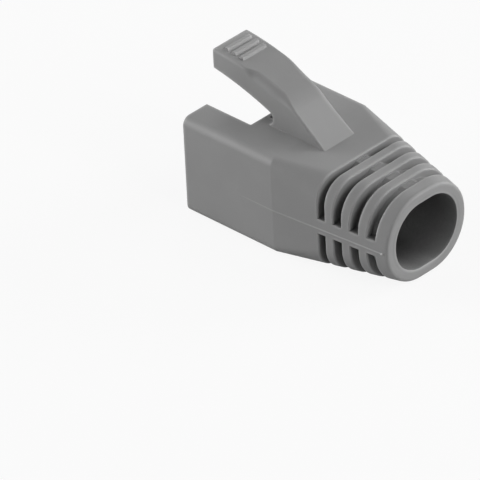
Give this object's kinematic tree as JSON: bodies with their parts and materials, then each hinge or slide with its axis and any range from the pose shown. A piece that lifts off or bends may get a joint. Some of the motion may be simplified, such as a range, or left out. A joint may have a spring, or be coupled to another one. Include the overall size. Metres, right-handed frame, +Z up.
{
  "type": "rj45 strain relief boot",
  "caption": "Grey moulded strain relief boot for a modular network plug, with an open socket, a hooded latch lever, a ribbed flexible neck and an oval cable passage.",
  "frame": {"origin": "middle of the bounds of the flat underside", "axes": "+Y along the boot from the mouth to the cable end, +Z up towards the lever, +X across"},
  "size_m": [0.014, 0.0264, 0.0173],
  "materials": {
    "boot": "satin moulded soft PVC, mid grey"
  },
  "bodies": {
    "root": {"boot": "boot"}
  },
  "joints": []
}
